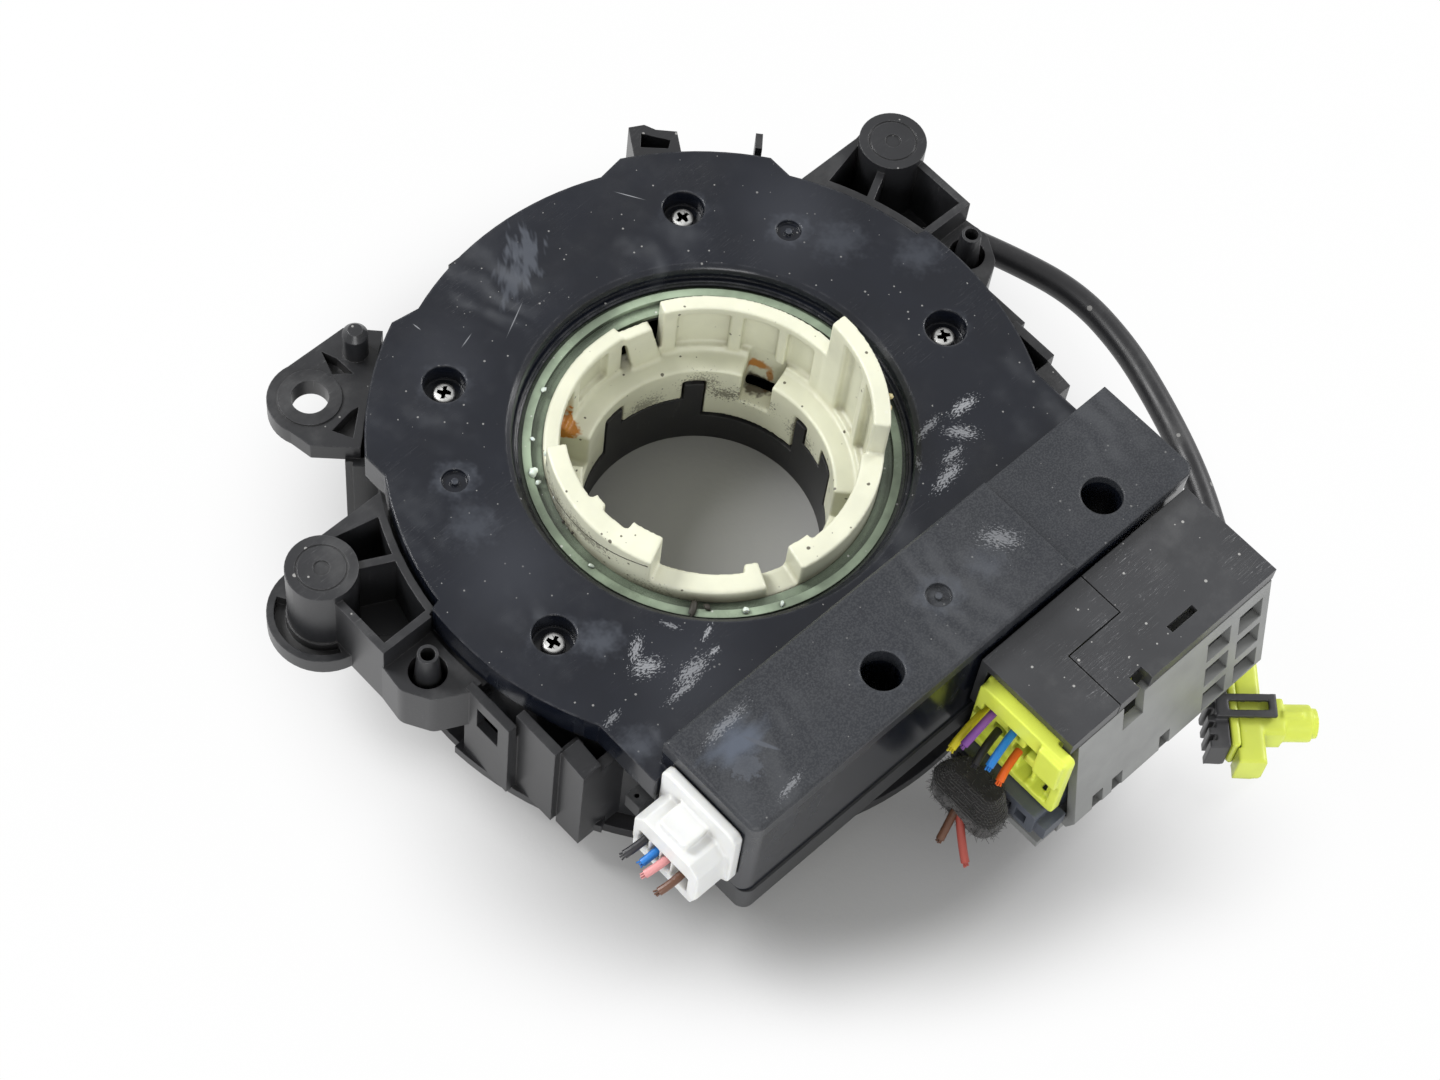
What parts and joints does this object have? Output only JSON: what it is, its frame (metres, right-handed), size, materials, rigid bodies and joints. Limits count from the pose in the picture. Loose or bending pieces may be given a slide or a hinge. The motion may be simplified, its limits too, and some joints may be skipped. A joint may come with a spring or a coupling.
{
  "type": "steering clock spring",
  "caption": "Steering column rotary connector with a spiral cable, geared angle sensor under a glossy cover, mounting ears, plug block and airbag lead.",
  "frame": {"origin": "centre of the steering column bore at the wheel-side face of the wheel plate", "axes": "+Z along the column bore from the wheel side to the sensor cover, +X towards the ear on the lead's side, -Y towards the plug block"},
  "size_m": [0.1553, 0.1506, 0.043],
  "materials": {
    "cover_plastic": "glossy blue-black plastic with dust and fine scratches",
    "housing_plastic": "charcoal moulded plastic with worn edges",
    "tray_plastic": "mid-grey moulded plastic",
    "connector_plastic": "dark grey moulded plastic with scuffs",
    "silver_plastic": "pale grey satin plastic",
    "rotor_plastic": "ivory plastic, yellow-green at the front",
    "ring_plastic": "pale green greased plastic",
    "hub_plastic": "black plastic",
    "pinion_plastic": "natural nylon",
    "magnet": "dark sintered magnet",
    "board": "green circuit board",
    "component": "black packages",
    "screw_steel": "bright zinc plated steel",
    "tin": "tinned brass",
    "cable_film": "amber film with copper tracks",
    "yellow_plastic": "lime yellow plastic",
    "white_nylon": "white nylon",
    "grey_plastic": "slate grey plastic",
    "tape": "black cloth tape",
    "lock_plastic": "dark grey plastic",
    "sheath": "black vinyl sheath",
    "grommet_rubber": "black rubber",
    "wire_purple": "purple vinyl",
    "wire_yellow": "yellow vinyl",
    "wire_black": "black vinyl",
    "wire_blue": "blue vinyl",
    "wire_orange": "orange vinyl",
    "wire_pink": "pink vinyl",
    "wire_brown": "brown vinyl",
    "wire_red": "red vinyl"
  },
  "bodies": {
    "stator": {"airbag_plug": "yellow_plastic", "airbag_wire_black": "wire_black", "airbag_wire_blue": "wire_blue", "airbag_wire_orange": "wire_orange", "airbag_wire_purple": "wire_purple", "airbag_wire_yellow": "wire_yellow", "board_components": "component", "connector_base": "silver_plastic", "connector_block": "connector_plastic", "connector_hood": "connector_plastic", "cover_screws": "screw_steel", "lead_grommet": "grommet_rubber", "lead_sheath": "sheath", "sensor_base": "tray_plastic", "sensor_board": "board", "sensor_cover": "cover_plastic", "sensor_plug": "white_nylon", "sensor_wire_black": "wire_black", "sensor_wire_blue": "wire_blue", "sensor_wire_brown": "wire_brown", "sensor_wire_pink": "wire_pink", "spiral_cable": "cable_film", "squib_cover": "yellow_plastic", "squib_lock": "lock_plastic", "squib_plug": "yellow_plastic", "stator_housing": "housing_plastic", "switch_plug": "grey_plastic", "switch_wire_brown": "wire_brown", "switch_wire_red": "wire_red", "tape_bundle": "tape", "terminal_pins": "tin"},
    "rotor": {"rotor_hub": "hub_plastic", "rotor_collar": "rotor_plastic", "ring_gear": "ring_plastic"},
    "sensor_pinion_a": {"pinion_a": "pinion_plastic", "magnet_a": "magnet"},
    "sensor_pinion_b": {"pinion_b": "pinion_plastic", "magnet_b": "magnet"}
  },
  "joints": [
    {"name": "rotor_turn", "type": "hinge", "parent": "stator", "child": "rotor", "pos_m": [0, 0, 0], "axis": [0, 0, 1], "range_deg": [-900, 900]},
    {"name": "pinion_a_turn", "type": "hinge", "parent": "stator", "child": "sensor_pinion_a", "pos_m": [0.00926, -0.04056, 0], "axis": [0, 0, 1], "range_deg": [-3780, 3780]},
    {"name": "pinion_b_turn", "type": "hinge", "parent": "stator", "child": "sensor_pinion_b", "pos_m": [-0.0177, -0.03676, 0], "axis": [0, 0, 1], "range_deg": [-4200, 4200]}
  ],
  "couplings": [
    {"joint": "pinion_a_turn", "follows": "rotor_turn", "ratio": -4.2},
    {"joint": "pinion_b_turn", "follows": "rotor_turn", "ratio": -4.6667}
  ]
}
